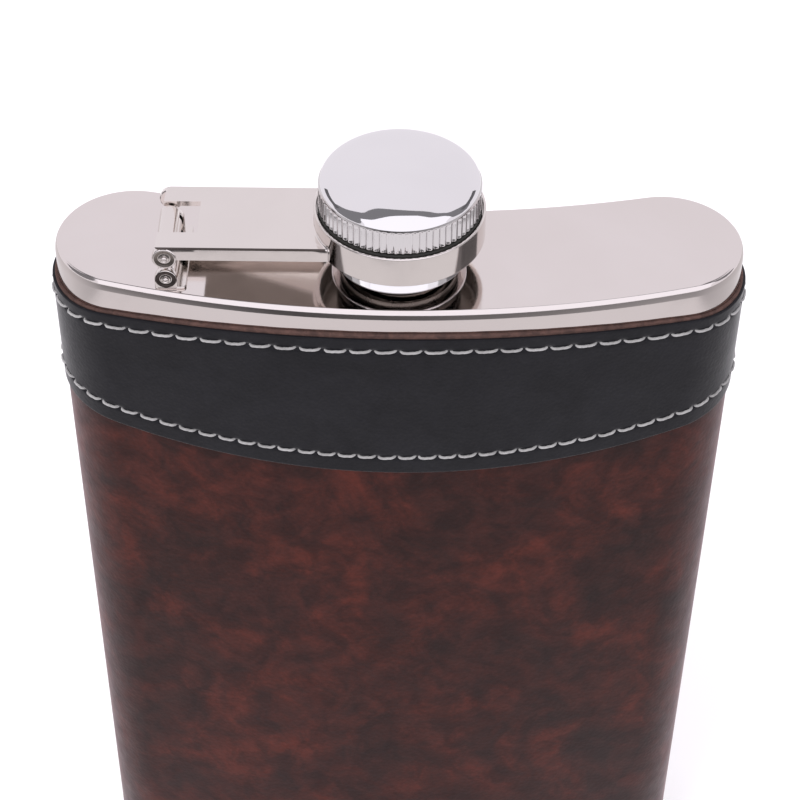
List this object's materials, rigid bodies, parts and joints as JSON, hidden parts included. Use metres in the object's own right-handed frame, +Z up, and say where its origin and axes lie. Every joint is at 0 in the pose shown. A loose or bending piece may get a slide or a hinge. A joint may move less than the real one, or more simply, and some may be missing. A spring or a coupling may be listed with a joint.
{
  "type": "hip flask",
  "caption": "Curved steel pocket flask in a leather wrap with a stitched band, and a captive screw cap on a double-pivot hinge.",
  "frame": {"origin": "on the flat rest face under the bottom plate, on the axis of the neck", "axes": "+Z up along the neck, +Y towards the hollow back, -Y towards the convex front, -X towards the hinge"},
  "size_m": [0.0966, 0.0283, 0.1478],
  "materials": {
    "steel": "polished stainless steel",
    "hinge_steel": "polished stainless steel",
    "cap_chrome": "bright chrome",
    "brown_leather": "marbled and waxed",
    "black_leather": "matt, fine grain",
    "thread": "waxed cotton thread",
    "washer": "matt black",
    "gasket": "matt silicone"
  },
  "bodies": {
    "flask": {"body_wall": "steel", "top_plate": "steel", "bottom_plate": "steel", "neck": "steel", "leather_wrap": "brown_leather", "black_band": "black_leather", "upper_stitching": "thread", "lower_stitching": "thread", "hinge_bracket": "hinge_steel", "lower_pin": "hinge_steel"},
    "link": {"hinge_link": "hinge_steel"},
    "arm": {"cap_arm": "steel", "upper_pin": "hinge_steel", "swivel_washer": "washer"},
    "cap": {"cap_head": "cap_chrome", "cap_skirt": "cap_chrome", "retaining_ring": "cap_chrome", "cap_gasket": "gasket"}
  },
  "joints": [
    {"name": "link_swing", "type": "hinge", "parent": "flask", "child": "link", "pos_m": [-0.0308, 0, 0.13375], "axis": [0, -1, 0], "range_deg": [0, 60]},
    {"name": "arm_swing", "type": "hinge", "parent": "link", "child": "arm", "pos_m": [-0.0308, 0, 0.13725], "axis": [0, -1, 0], "range_deg": [0, 120]},
    {"name": "cap_turn", "type": "hinge", "parent": "arm", "child": "cap", "pos_m": [0, 0, 0.137], "axis": [0, 0, 1], "continuous": true}
  ]
}
